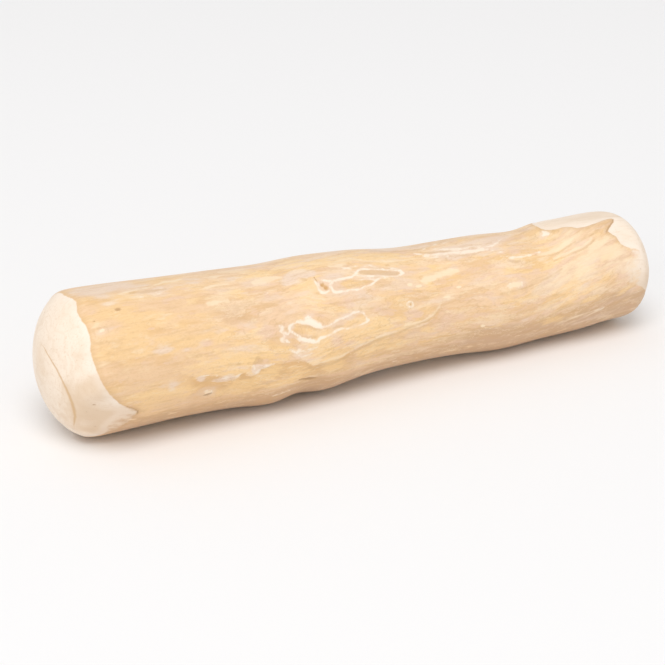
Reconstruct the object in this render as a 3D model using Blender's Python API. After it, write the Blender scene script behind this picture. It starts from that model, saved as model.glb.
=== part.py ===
"""Coffee wood chew stick: a solid, barkless length of gnarled branch with sanded, domed ends.

It lies along X with its thick end at -X and rests on the low places of its underside.
"""

import math

import bmesh
import bpy

MM = 0.001

NAME = "chew_stick"
LENGTH = 205.0
SIDES = 80
CAP_RINGS = 8
BARREL_RINGS = 57

# Along the stick in mm: place, width across, height of the middle above the rest.
STATIONS = (
    (-102.5, 44.0, 21.9),
    (-85.0, 43.4, 22.2),
    (-62.0, 41.7, 21.7),
    (-46.0, 41.2, 21.0),
    (-30.0, 40.8, 20.2),
    (-15.0, 40.4, 20.6),
    (0.0, 37.9, 20.6),
    (15.0, 35.5, 19.4),
    (30.0, 35.2, 18.9),
    (45.0, 35.9, 18.0),
    (60.0, 34.5, 17.5),
    (75.0, 35.7, 18.2),
    (90.0, 34.9, 18.8),
    (102.5, 34.7, 16.9),
)

# How far each domed end reaches in mm, and how full its curve is.
NEAR_DOME = (11.5, 1.65)
FAR_DOME = (8.8, 1.5)

# The branch isn't quite round: share of the radius, lobes round it, twist in degrees per mm, start.
LOBES = (
    (0.010, 2, 0.9, 40.0),
    (0.006, 3, -0.7, 110.0),
)

# Swellings (+) and hollows (-): place mm, turn deg, reach along mm, reach round deg, height mm.
SWELLINGS = (
    (-36.0, 238.0, 6.0, 34.0, 1.0),
    (-25.5, 236.0, 4.5, 30.0, -0.9),
    (-16.0, 240.0, 5.5, 34.0, 0.6),
    (-29.0, 205.0, 9.0, 14.0, 0.6),
    (67.0, 72.0, 6.0, 30.0, 1.0),
    (82.0, 84.0, 12.0, 22.0, 0.4),
    (50.0, 252.0, 13.0, 30.0, 0.4),
    (14.0, 246.0, 12.0, 30.0, -0.3),
    (-41.0, 282.0, 9.0, 28.0, 0.5),
    (-46.0, 20.0, 9.0, 22.0, 1.3),
    (30.0, 338.0, 12.0, 24.0, 1.0),
    (-72.0, 330.0, 14.0, 26.0, -0.8),
    (-5.0, 48.0, 15.0, 22.0, -0.4),
    (-20.0, 124.0, 5.0, 9.0, 0.5),
    (2.0, 121.0, 8.0, 6.0, -0.3),
    (-8.0, 131.0, 8.0, 6.0, -0.3),
    (-13.0, 161.0, 7.0, 8.0, -0.3),
    (-29.0, 160.0, 6.0, 9.0, -0.3),
)

# Faces left by sanding: a point on each (place mm, turn deg, distance from the middle mm), then
# how far it leans towards the thin end in degrees. Their edges are rounded over about this width.
SANDED_FACES = (
    ((80.0, 84.0, 17.6), 2.4),
    ((-88.0, 214.0, 19.7), -19.0),
)

SANDED_EDGE = 0.5

# Where the skin ends, round the thick end and round the thin end: turn deg, place mm.
NEAR_SKIN_EDGE = (
    (0.0, -91.5),
    (30.0, -92.8),
    (60.0, -92.2),
    (83.0, -92.6),
    (98.0, -91.8),
    (112.0, -93.2),
    (130.0, -92.5),
    (152.0, -93.2),
    (166.0, -92.6),
    (176.0, -91.5),
    (186.0, -89.5),
    (196.0, -86.9),
    (207.0, -83.6),
    (217.0, -85.6),
    (232.0, -88.2),
    (252.0, -91.0),
    (280.0, -92.6),
    (320.0, -91.0),
)
FAR_SKIN_EDGE = (
    (0.0, 92.0),
    (35.0, 90.5),
    (60.0, 91.5),
    (85.0, 92.0),
    (104.0, 89.5),
    (119.0, 85.0),
    (138.0, 86.0),
    (150.0, 89.5),
    (166.0, 89.0),
    (178.0, 88.8),
    (190.0, 93.0),
    (225.0, 93.6),
    (260.0, 91.6),
    (300.0, 93.4),
    (330.0, 90.5),
)
SKIN_STEP = 0.3
SKIN_EDGE_WIDTH = 0.7
SKIN_FADE = 7.0

# The rest is worn this much lower than the roundness under it.
REST_DEPTH = 0.75


def clear_scene():
    for thing in list(bpy.data.objects):
        bpy.data.objects.remove(thing, do_unlink=True)


def eased(rows, place, column):
    """The value at a place along rows, as a smooth curve through them."""
    last = len(rows) - 2
    here = max(i for i in range(last + 1) if i == 0 or rows[i][0] <= place)
    before, start, end, after = (rows[min(max(i, 0), last + 1)] for i in range(here - 1, here + 3))
    span = end[0] - start[0]
    share = min(max((place - start[0]) / span, 0.0), 1.0)
    leaving = span * (end[column] - before[column]) / (end[0] - before[0])
    arriving = span * (after[column] - start[column]) / (after[0] - start[0])
    squared = share * share
    cubed = squared * share
    return (
        (2 * cubed - 3 * squared + 1) * start[column]
        + (cubed - 2 * squared + share) * leaving
        + (3 * squared - 2 * cubed) * end[column]
        + (cubed - squared) * arriving
    )


def edge_place(edge, turn):
    """Where the skin ends at this turn round the stick."""
    degrees = turn % 360.0
    closed = edge + ((edge[0][0] + 360.0, edge[0][1]),)
    for first, second in zip(closed, closed[1:]):
        if degrees <= second[0]:
            break
    share = (degrees - first[0]) / (second[0] - first[0])
    return first[1] + (second[1] - first[1]) * share


def dome_share(place):
    """How much of the width is left at this place, less than all of it over a domed end."""
    if place < 0.0:
        reach, fullness = NEAR_DOME
        inside = reach - (place + LENGTH / 2)
    else:
        reach, fullness = FAR_DOME
        inside = reach - (LENGTH / 2 - place)
    gone = min(max(inside / reach, 0.0), 1.0)
    return (1.0 - gone**fullness) ** (1.0 / fullness)


def turn_apart(first, second):
    return (first - second + 180.0) % 360.0 - 180.0


def swelling(place, turn):
    """How far the surface stands off the plain branch here, in mm."""
    height = 0.0
    for middle, towards, along, around, rise in SWELLINGS:
        far = ((place - middle) / along) ** 2 + (turn_apart(turn, towards) / around) ** 2
        height += rise * math.exp(-far)
    return height


def sanded_step(place, turn):
    """How far the sanded wood lies under the skin here, in mm."""
    near = edge_place(NEAR_SKIN_EDGE, turn) - place
    far = place - edge_place(FAR_SKIN_EDGE, turn)
    past = max(near, far)
    if past <= 0.0:
        return 0.0
    return SKIN_STEP * max(1.0 - past / SKIN_FADE, 0.0)


def plain_point(place, turn):
    """A point of the branch before its flat faces are sanded, in mm."""
    share = dome_share(place)
    radius = eased(STATIONS, place, 1) / 2
    for size, lobes, twist, start in LOBES:
        radius *= 1.0 + size * math.cos(math.radians(lobes * (turn - start - twist * place)))
    radius = share * (radius + swelling(place, turn) - sanded_step(place, turn))
    angle = math.radians(turn)
    middle = eased(STATIONS, place, 2)
    return place, radius * math.cos(angle), middle + radius * math.sin(angle)


def sanded_point(point):
    """The same point, pressed back onto each sanded face that it stands in front of, with a soft edge."""
    x, y, z = point
    for (place, turn, out), tilt in SANDED_FACES:
        angle = math.radians(turn)
        lean = math.radians(tilt)
        facing = (math.sin(lean), math.cos(lean) * math.cos(angle), math.cos(lean) * math.sin(angle))
        middle = eased(STATIONS, place, 2)
        over = (x - place) * facing[0]
        over += (y - out * math.cos(angle)) * facing[1]
        over += (z - middle - out * math.sin(angle)) * facing[2]
        press = (over + math.hypot(over, SANDED_EDGE)) / 2
        x -= press * facing[0]
        y -= press * facing[1]
        z -= press * facing[2]
    return x, y, z


def ring_place(ring, turn):
    """Where a ring of points crosses this turn, so that rings run along both skin edges."""
    near = edge_place(NEAR_SKIN_EDGE, turn)
    far = edge_place(FAR_SKIN_EDGE, turn)
    half = SKIN_EDGE_WIDTH / 2
    last = 2 * CAP_RINGS + BARREL_RINGS
    if ring <= CAP_RINGS:
        share = (ring / CAP_RINGS) ** 1.6
        return -LENGTH / 2 + (near - half + LENGTH / 2) * share
    if ring >= last - CAP_RINGS:
        share = ((last - ring) / CAP_RINGS) ** 1.6
        return LENGTH / 2 - (LENGTH / 2 - far - half) * share
    share = (ring - CAP_RINGS - 1) / (BARREL_RINGS - 2)
    return near + half + (far - near - 2 * half) * share


def shape_stick(mesh):
    """Turns a ball whose poles are on Z into the stick along X, its lower pole at the thick end."""
    rings = 2 * CAP_RINGS + BARREL_RINGS
    for vertex in mesh.verts:
        down = math.acos(min(max(vertex.co.z, -1.0), 1.0))
        ring = rings - round(down / math.pi * rings)
        turn = math.degrees(math.atan2(vertex.co.y, vertex.co.x))
        x, y, z = sanded_point(plain_point(ring_place(ring, turn), turn))
        vertex.co = (x * MM, y * MM, z * MM)


def set_down(mesh):
    """Wears the lowest places flat and puts the origin under the middle of the stick."""
    low = min(vertex.co.z for vertex in mesh.verts) + REST_DEPTH * MM
    along = [vertex.co.x for vertex in mesh.verts]
    across = [vertex.co.y for vertex in mesh.verts]
    middle_x = (min(along) + max(along)) / 2
    middle_y = (min(across) + max(across)) / 2
    for vertex in mesh.verts:
        vertex.co.x -= middle_x
        vertex.co.y -= middle_y
        vertex.co.z = max(vertex.co.z - low, 0.0)


def wood_material():
    material = bpy.data.materials.new("coffee_wood")
    material.use_nodes = True
    surface = material.node_tree.nodes["Principled BSDF"]
    surface.inputs["Base Color"].default_value = (0.82, 0.61, 0.38, 1.0)
    surface.inputs["Roughness"].default_value = 0.62
    surface.inputs["Metallic"].default_value = 0.0
    return material


def build_stick():
    mesh = bmesh.new()
    rings = 2 * CAP_RINGS + BARREL_RINGS
    bmesh.ops.create_uvsphere(mesh, u_segments=SIDES, v_segments=rings, radius=1.0)
    shape_stick(mesh)
    set_down(mesh)
    data = bpy.data.meshes.new(NAME)
    mesh.to_mesh(data)
    mesh.free()
    stick = bpy.data.objects.new(NAME, data)
    data.materials.append(wood_material())
    collection = bpy.data.collections.new("coffee_wood_chew_stick")
    bpy.context.scene.collection.children.link(collection)
    collection.objects.link(stick)
    bpy.context.view_layer.objects.active = stick
    stick.select_set(True)
    bpy.ops.object.shade_smooth()
    return stick


clear_scene()
build_stick()
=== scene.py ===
"""Coffee wood chew stick: the finished stick over its solid, with a plain stage.

Places on the stick are written as millimetres along X and degrees round it, from +Y up over the top
(90), round the front (180) and under it (270).
"""

import math

import bmesh
import bpy
import numpy as np
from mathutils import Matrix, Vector, noise
from mathutils.bvhtree import BVHTree


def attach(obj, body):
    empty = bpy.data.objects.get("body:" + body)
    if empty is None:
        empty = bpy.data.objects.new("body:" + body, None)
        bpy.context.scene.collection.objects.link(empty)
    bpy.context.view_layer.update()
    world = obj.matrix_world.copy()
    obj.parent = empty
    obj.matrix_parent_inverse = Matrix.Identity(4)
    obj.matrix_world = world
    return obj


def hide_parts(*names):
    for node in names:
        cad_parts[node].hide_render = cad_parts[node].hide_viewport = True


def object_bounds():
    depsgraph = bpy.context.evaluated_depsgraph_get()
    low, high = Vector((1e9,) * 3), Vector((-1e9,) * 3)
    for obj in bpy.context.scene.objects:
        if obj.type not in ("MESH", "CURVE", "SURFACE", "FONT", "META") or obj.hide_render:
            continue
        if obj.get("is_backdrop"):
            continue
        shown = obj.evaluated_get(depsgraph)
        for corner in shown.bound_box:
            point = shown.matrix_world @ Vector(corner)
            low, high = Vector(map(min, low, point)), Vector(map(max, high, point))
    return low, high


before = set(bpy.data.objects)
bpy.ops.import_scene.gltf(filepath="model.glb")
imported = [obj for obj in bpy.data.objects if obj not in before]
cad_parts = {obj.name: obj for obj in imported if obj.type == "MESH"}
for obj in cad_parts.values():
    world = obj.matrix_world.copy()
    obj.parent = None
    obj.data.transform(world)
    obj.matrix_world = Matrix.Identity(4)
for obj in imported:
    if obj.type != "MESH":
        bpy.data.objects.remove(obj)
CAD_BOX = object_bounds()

bl_info = {
    "name": "Coffee wood chew stick",
    "version": (1, 0, 0),
    "blender": (4, 5, 0),
    "location": "View3D > Sidebar > Chew stick",
    "description": "A barkless coffee wood branch with sanded ends, finished over its solid",
    "category": "Add Mesh",
}

MM = 0.001
NODE = "chew_stick"

# The middle of the branch: mm along X, mm above the floor. It lies this far to the back.
MIDDLE = (
    (-102.5, 21.8), (-85, 22.1), (-62, 21.6), (-46, 20.9), (-30, 20.1), (-15, 20.5), (0, 20.5), (15, 19.3),
    (30, 18.7), (45, 17.9), (60, 17.4), (75, 18.1), (90, 18.7), (102.5, 16.8),
)
MIDDLE_BACK = 0.1
HALF_LENGTH = 102.5
ROUND_RADIUS = 18.0

# Rings of points are closer together over each domed end: mm that it reaches, rings in it.
NEAR_CAP = (14.5, 34)
FAR_CAP = (12.5, 30)

# Where the skin ends and sanded wood begins, once round each end.
NEAR_SKIN_EDGE = (
    (-91.2, 12), (-92.6, 24), (-92, 37), (-93.1, 50), (-92.2, 64), (-92.2, 75.6), (-92.5, 81.4),
    (-92.3, 88.3), (-91.8, 93.1), (-91.6, 99.4), (-92.4, 106.2), (-93, 111), (-93.1, 116), (-93, 121.4),
    (-92.6, 127), (-92.6, 134.8), (-92.8, 139), (-93, 142.5), (-93.5, 146), (-93.5, 153.7), (-93, 161.7),
    (-92.3, 169.6), (-91.1, 177.8), (-90, 182.6), (-88.4, 188.1), (-87, 193.1), (-85.3, 197.2),
    (-83.8, 200), (-82.1, 203), (-81.2, 206), (-81.2, 209.2), (-82.6, 212), (-84.4, 216), (-85.8, 222),
    (-86.6, 231), (-89.2, 243), (-92, 252), (-92.8, 266), (-91.6, 279), (-92.6, 292), (-90.8, 305),
    (-90, 318), (-91.8, 331), (-92.9, 345), (-92, 358),
)
FAR_SKIN_EDGE = (
    (92.4, 8), (91, 24), (89, 38), (84, 48), (76, 55), (69, 60), (66.6, 66), (65.2, 74), (64.8, 82),
    (64.8, 90.2), (65.6, 95.3), (67, 98), (68.8, 99.4), (71.4, 99), (73.6, 101.4), (75.4, 105.6),
    (78.1, 106.6), (81, 105.4), (83.4, 104.4), (86.2, 102), (88.8, 100.6), (90.2, 101.6), (88.7, 107.9),
    (86.8, 112.3), (85.2, 116.5), (84.4, 119.4), (85.2, 123.6), (86.3, 127), (86.3, 131.4), (86.7, 136.4),
    (87.8, 139.6), (89, 142), (90.6, 144.4), (91.2, 148), (90.6, 152.4), (89.2, 159.4), (88.6, 167.2),
    (88.8, 175.7), (90, 181.4), (93, 186.6), (95, 192), (95.6, 200), (95.2, 212), (93.6, 228), (91, 244),
    (92.8, 259), (93.6, 275), (91.8, 292), (93.4, 308), (90.6, 322), (91.7, 336), (93.4, 350),
)

# The lower edge of the outer skin, which was scraped off the wood below it, and how strongly it shows.
INNER_EDGE = (
    (-80, 169, 0), (-74.6, 171.9, 0.18), (-70, 175, 0.27), (-66, 179.7, 0.45), (-62.8, 184.1, 1),
    (-60.6, 183.5, 1), (-57.8, 185, 1), (-55.5, 186.7, 1), (-54.5, 189, 1), (-52.6, 189.1, 1),
    (-50.3, 190.3, 1), (-49.7, 188.7, 1), (-48.5, 187.1, 1), (-47.5, 187.6, 1), (-46.6, 190.9, 1),
    (-45.5, 191.9, 1), (-44, 189.8, 1), (-42.8, 186.7, 1), (-40.5, 185, 1), (-38.3, 184.2, 1),
    (-35.4, 184.6, 1), (-31.1, 184, 1), (-29.1, 185.2, 1), (-27.8, 187.5, 1), (-26.4, 190.8, 1),
    (-25, 192.8, 1), (-23.7, 191.8, 1), (-19.4, 192.6, 0.8), (-15.7, 191.6, 0.8), (-14.4, 189.7, 0.8),
    (-11.3, 187.7, 0.65), (-10.3, 186.1, 0.65), (-6.8, 184.4, 0.65), (-3.9, 182.7, 0.5), (-0.4, 183.9, 0.5),
    (2.5, 183.9, 0.45), (4.3, 180.8, 0.45), (6.4, 179.4, 0.45), (11.5, 179.8, 0.45), (14, 177.9, 0.45),
    (15.8, 175.7, 0.45), (16.9, 172.2, 0.45), (17.4, 168.4, 0.45), (18.2, 165.8, 0.45), (18.9, 162.2, 0.45),
    (19.4, 158.3, 0.4), (20.4, 157.4, 0.4), (23.6, 156.9, 0.4), (27.5, 156.2, 0.25), (34, 158, 0),
)

# Islands where a flake of skin came off, each with a thin white rim.
LOOPS = (
    (
        (-4.4, 117.2), (-3.1, 116.3), (0.2, 117.4), (4.5, 119), (8.1, 120.6), (9.4, 121.7), (9.8, 123.7),
        (8.9, 125.7), (7.3, 127.2), (4.9, 126.9), (2.3, 126.2), (-0.9, 124.8), (-4.4, 122.4), (-5.2, 119.4),
    ),
    (
        (-15.6, 131.4), (-15.4, 128.3), (-14.8, 125.8), (-13.8, 125), (-12, 124.4), (-9.8, 124),
        (-7.7, 124.8), (-4.5, 126.4), (-1.5, 127.8), (0.3, 128.7), (-0.5, 130.5), (-1.5, 132.4),
        (-3, 133.8), (-5.3, 134.6), (-6.9, 136), (-9.5, 135.5), (-11.9, 135.6), (-14.9, 134.9),
        (-15.5, 133.6),
    ),
    (
        (-29.4, 152.8), (-27.9, 154.4), (-26, 155), (-24.6, 157.5), (-23.1, 160.1), (-22.2, 161.3),
        (-20.2, 161.4), (-18.4, 159.9), (-16.6, 158.2), (-14.6, 158), (-12.8, 156.8), (-11.3, 155.4),
        (-9.5, 155.4), (-8.2, 156.5), (-7.5, 158.8), (-6.9, 164.2), (-8.9, 166), (-12.4, 167.1),
        (-15.8, 165.9), (-17.1, 166), (-20, 168.4), (-23.3, 169.7), (-24.4, 171.6), (-26.6, 169.8),
        (-28.6, 167.2), (-29.8, 164), (-31.2, 160.8), (-32.2, 158), (-31.8, 155.4), (-30.4, 153.2),
    ),
    ((20, 18), (24, 12), (31, 11), (37, 15), (40, 22), (35, 27), (28, 25), (22, 25)),
    ((-66, 322), (-61, 315), (-52, 316), (-47, 322), (-52, 330), (-60, 331)),
)

# White lines where skin tore: mm along, degrees round, half width in mm.
STROKES = (
    # Round the grey sliver.
    (
        (-17.8, 122.1, 0.1), (-15.8, 124.2, 0.3), (-13.8, 124.6, 0.45), (-12, 124, 0.3), (-9.8, 123.5, 0.2),
        (-7.7, 123.2, 0.2), (-6.4, 121.3, 0.25), (-5.3, 118.9, 0.3), (-4.4, 117, 0.3), (-3.1, 116.1, 0.3),
        (0.2, 117.2, 0.15), (4.5, 118.8, 0.15), (8.1, 120.4, 0.25), (9.5, 121.5, 0.5), (10, 123.7, 0.5),
        (9, 125.9, 0.35), (7.3, 127.6, 0.2), (4.9, 127.1, 0.15), (2.3, 126.4, 0.2), (-0.9, 125, 0.2),
        (-3, 124, 0.15), (-4.8, 122.8, 0.15), (-6.2, 121.6, 0.2),
    ),
    (
        (4.9, 128, 0.05), (2.1, 127.9, 0.15), (0.6, 128.7, 0.25), (-0.4, 130.3, 0.2), (-1.6, 128.2, 0.15),
        (-5.3, 127, 0.1), (-8, 125.6, 0),
    ),
    # Round the flake beside the knot.
    (
        (-0.4, 130.3, 0.2), (-1.4, 132.5, 0.15), (-3, 134, 0.2), (-5.2, 134.6, 0.15), (-6.8, 136.3, 0.2),
        (-9.5, 135.7, 0.15), (-11.9, 135.8, 0.2), (-14.9, 135.1, 0.3), (-15.6, 133.8, 0.5),
        (-15.7, 131.4, 0.3), (-15.5, 128.3, 0.1), (-14.9, 125.6, 0.2), (-13.8, 124.6, 0.4),
    ),
    # Round the knot.
    (
        (-20.2, 121, 0.05), (-20, 123.6, 0.35), (-19.8, 126.2, 0.5), (-19.9, 129.8, 0.4),
        (-19.7, 132.5, 0.3), (-18.8, 133.9, 0.3), (-17.6, 133.6, 0.15), (-16.8, 132.2, 0.05),
    ),
    ((-16.4, 129.9, 0.1), (-15.9, 127.4, 0.15), (-15.1, 125.8, 0.15)),
    # Round the large flake.
    (
        (-29.4, 152.5, 0.2), (-27.9, 154, 0.5), (-26, 154.6, 0.75), (-24.6, 157.3, 0.65),
        (-23.1, 159.9, 0.45), (-22.2, 161.4, 0.2), (-20.2, 161.5, 0.15), (-18.4, 159.9, 0.15),
        (-16.6, 158.1, 0.2), (-14.6, 158, 0.15), (-12.8, 156.8, 0.2), (-11.3, 155.1, 0.2),
        (-9.5, 155, 0.25), (-8.2, 156.2, 0.25), (-7.5, 158.8, 0.2), (-7.2, 161.2, 0.2), (-6.5, 164.5, 0.2),
        (-7.4, 165.7, 0.15), (-8.9, 166.3, 0.1), (-12.4, 167.4, 0.05), (-14.1, 167.2, 0.1),
        (-15.8, 166.1, 0.15), (-17.1, 166.2, 0.2), (-18.6, 167.4, 0.25), (-20, 168.7, 0.25),
        (-21.6, 169.3, 0.25), (-23.3, 169.9, 0.3), (-24.4, 172, 0.45), (-26.6, 170, 0.5),
        (-28.7, 167.4, 0.35), (-29.9, 164.1, 0.2), (-31.4, 160.8, 0.2), (-32.4, 158.4, 0.25),
        (-32.6, 156.4, 0.3), (-32, 154.6, 0.25), (-30.8, 153, 0.25), (-29.4, 152.5, 0.2),
    ),
    ((-27.7, 151.1, 0.1), (-26, 150.4, 0.3), (-25, 151, 0.05)),
    ((-34.6, 158.6, 0.1), (-34, 160.2, 0.35), (-33.2, 161, 0.1)),
    ((-34.8, 165.2, 0.1), (-34.2, 166.2, 0.35), (-33.3, 167.4, 0.15)),
    ((-33.4, 173.5, 0.05), (-31.4, 177.2, 0.3), (-30.1, 175.6, 0.25), (-27.6, 178.8, 0.1)),
    ((-30.8, 180, 0.02), (-28.5, 181.4, 0.2), (-26.2, 181.2, 0.02)),
    ((-28.6, 175.4, 0.02), (-26.4, 177.2, 0.2), (-24.4, 176.6, 0.02)),
    # Wedges.
    ((64.2, 95, 0.1), (64.8, 99.4, 0.8), (64.8, 101.2, 1), (63.4, 102.8, 0.3)),
)

# Fainter and more ragged ones.
TRACES = (
    # The long streak on top, and its branches.
    (
        (17.9, 98.9, 0.15), (19.5, 102, 0.45), (20.6, 104.6, 0.6), (23.6, 106, 0.6), (25.7, 106.2, 0.52),
        (28.6, 107.4, 0.52), (30.4, 107.4, 0.68), (32.9, 108.7, 0.79), (35.6, 109.6, 0.75),
        (38.1, 109.6, 0.64), (41.7, 109.8, 0.38),
    ),
    ((18.8, 105.6, 0.08), (22, 109, 0.22), (27, 110.4, 0.22), (31, 112, 0.08)),
    ((26, 99.4, 0.08), (30, 101.6, 0.22), (36, 103.6, 0.19), (41, 104, 0.08)),
    ((41.7, 109.8, 0.22), (42.6, 111.8, 0.19), (44.3, 114.7, 0.15), (46, 117, 0.08)),
    ((39.7, 108.5, 0.22), (44.5, 106, 0.15), (49.7, 97, 0.08)),
    ((22.4, 92.6, 0.08), (25.1, 96.2, 0.15), (28.6, 99.8, 0.26), (31.7, 104.3, 0.22), (34.5, 105, 0.08)),
    ((22.5, 92.5, 0.08), (25.5, 89.5, 0.15), (28, 86.2, 0.3), (30.6, 87, 0.22), (32.5, 85, 0.08)),
    # Short ones on top.
    ((-9.4, 112.7, 0.15), (-7.1, 113.4, 0.35), (-5.9, 114.2, 0.2)),
    ((-4.9, 112.6, 0.15), (-0.6, 113.9, 0.2), (3.1, 116.2, 0.25), (9, 119.1, 0.1)),
    ((-36, 125, 0.1), (-34, 123, 0.25), (-32, 120.8, 0.1)),
    # Along the torn edge.
    (
        (-62.2, 183.2, 0.05), (-60.2, 183.2, 0.1), (-58, 184.6, 0.15), (-55.8, 186.2, 0.15),
        (-54.3, 188.4, 0.1), (-52.4, 188.7, 0.15), (-50.4, 189.8, 0.15), (-49.6, 188, 0.1),
        (-48.4, 186.7, 0.15), (-47.2, 187.2, 0.1), (-46.4, 190.2, 0.05),
    ),
    (
        (-45.2, 182, 0.1), (-44.9, 185.6, 0.3), (-44.2, 188.4, 0.3), (-42.9, 186, 0.2), (-41, 184.6, 0.25),
        (-38.4, 183.6, 0.1),
    ),
    # Round the large flake.
    (
        (-30.4, 151.4, 0.1), (-28.6, 152.4, 0.4), (-26.4, 152.8, 0.7), (-24.4, 155.6, 0.7),
        (-22.6, 158.8, 0.4),
    ),
    (
        (-35.8, 152.6, 0.2), (-34.6, 155, 0.5), (-35.4, 158, 0.4), (-34.4, 161.4, 0.5), (-35.4, 164.6, 0.5),
        (-34.6, 167.6, 0.2),
    ),
    ((-31, 165.4, 0.05), (-28.1, 168.6, 0.4), (-25.9, 170.8, 0.7), (-24, 172.6, 0.4)),
    ((-67.9, 108, 0.2), (-66.9, 108.6, 0.35)),
    ((-74, 108.9, 0.05), (-73, 109.2, 0.25)),
    # Towards the thin end.
    ((44.6, 121.6, 0.1), (46.6, 123, 0.35), (48.4, 124.2, 0.35), (54, 124.9, 0.2), (58.9, 122.7, 0.1)),
    ((68.8, 188.6, 0.02), (68.8, 191, 0.1), (69.7, 194.3, 0.1)),
    ((75.1, 201.9, 0.05), (78.8, 200.5, 0.1)),
    ((87.9, 199.2, 0.15), (88.3, 200, 0.2)),
    # On the lower front.
    ((3.2, 216.6, 0.15), (5.2, 219, 0.3)),
    ((-37, 218.8, 0.05), (-35, 217, 0.12), (-33.5, 215.6, 0.12), (-31.8, 215, 0.05)),
    # On the back and underneath.
    ((-20, 48, 0.2), (-10, 44, 0.6), (-2, 47, 0.7), (6, 44, 0.3)),
    ((50, 30, 0.2), (58, 26, 0.5), (66, 28, 0.2)),
    ((-60, 25, 0.2), (-54, 28, 0.4), (-46, 24, 0.5), (-40, 27, 0.2)),
    ((8, 300, 0.2), (15, 304, 0.6), (24, 302, 0.3)),
    ((-30, 352, 0.1), (-22, 349, 0.5), (-15, 353, 0.3), (-17, 359, 0.3), (-27, 358, 0.2)),
    ((46, 338, 0.1), (53, 334, 0.4), (61, 337, 0.5), (67, 335, 0.1)),
    ((-72, 288, 0.1), (-64, 284, 0.4), (-58, 286, 0.2)),
    ((28, 262, 0.1), (36, 258, 0.4), (44, 260, 0.1)),
)

# Smooth pale bands that a scraper left: mm along, degrees round, half width in mm.
BANDS = (
    (
        (-6, 92, 0.1), (-3.9, 100.8, 0.2), (-0.1, 106.6, 0.2), (6.6, 108.8, 0.25), (11.4, 108, 0.2),
        (17.1, 106.6, 0.15), (20.5, 106.3, 0.1),
    ),
    (
        (-79, 101, 0.1), (-74.9, 99.4, 0.2), (-71.8, 98, 0.2), (-68.5, 96.7, 0.2), (-65.4, 92.8, 0.25),
        (-63.8, 90.6, 0.2),
    ),
    ((-55, 109.6, 0.1), (-53.4, 109.1, 0.25), (-49.9, 107.1, 0.3), (-45.9, 108.1, 0.15)),
    ((62, 207, 0.1), (64.9, 205.8, 0.15), (70.7, 202.4, 0.2), (77.2, 200.4, 0.15)),
    ((76.7, 155.4, 0.1), (81.3, 153.3, 0.2), (88.1, 154, 0.1)),
    (
        (-13.4, 187.4, 0.1), (-9.9, 185.2, 0.2), (-6.4, 184, 0.25), (-3.9, 182, 0.3), (-1.1, 181.2, 0.35),
        (2.5, 180.3, 0.25), (4.3, 178.6, 0.15), (6.1, 175.8, 0.1), (7.9, 175.1, 0.15), (10.4, 175.1, 0.15),
        (13.4, 173.3, 0.2), (15.9, 170.5, 0.25), (17.4, 167.2, 0.15), (18.7, 163, 0.15), (20.2, 157.2, 0.1),
        (24, 156.6, 0.05),
    ),
    (
        (-25.6, 191.6, 0.1), (-21.7, 190.8, 0.25), (-17.4, 191, 0.25), (-14.4, 188.8, 0.25),
        (-11.3, 186.8, 0.1),
    ),
    ((-37.8, 110, 0.9), (-35.5, 109.4, 1.1), (-32, 107.4, 1), (-28.8, 109.2, 0.2)),
    ((-55.3, 125.8, 0.5), (-52.9, 125.8, 0.55), (-48.7, 125.3, 0.3)),
    ((-63.5, 89.5, 0.5), (-60.5, 91, 0.8), (-57.5, 88.5, 0.4)),
    ((-50.5, 92.8, 0.4), (-48, 93.8, 0.5), (-45, 93.5, 0.2)),
    ((-12.6, 107.8, 0.4), (-10.1, 108.8, 0.6), (-7.2, 108.4, 0.2)),
    ((-6.3, 124, 0.3), (-3, 124.4, 0.35), (0, 125.4, 0.2)),
    (
        (15.2, 135.4, 0.5), (16.6, 134.4, 1.1), (19.3, 132.9, 1), (22.4, 130.8, 0.9), (25.6, 129.8, 1.1),
        (28.4, 130, 0.3),
    ),
    ((45.3, 133.6, 0.1), (48, 135.2, 0.2), (51, 136, 0.1)),
    ((57.6, 125.2, 0.2), (60.5, 126, 0.7), (65.9, 123.8, 0.8), (69.4, 119.8, 0.8), (72, 117, 0.3)),
    (
        (62.6, 133.7, 0.2), (67, 131.2, 0.35), (70.3, 130.2, 0.4), (73.3, 129.2, 0.4), (76.5, 125, 0.35),
        (77.8, 121.6, 0.1),
    ),
    ((-62, 12, 0.4), (-50, 8, 1), (-36, 10, 0.5)),
    ((2, 334, 0.3), (14, 330, 1), (26, 326, 0.4)),
    ((30, 280, 0.4), (42, 284, 0.9), (54, 280, 0.3)),
)

# Pale rings: mm along, degrees round, half length, half width and half thickness in mm.
RINGS = (
    (8.9, 156.5, 1.05, 0.85, 0.16), (46.2, 153.2, 2.6, 1, 0.04), (-88.8, 134, 0.9, 0.4, -0.1),
    (-59.2, 200.7, 1.5, 0.8, 0.05), (38, 44, 1.9, 1.4, 0.25), (-78, 356, 1.7, 1.2, 0.25),
    (-5, 312, 1.5, 1.1, 0.2),
)

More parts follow.
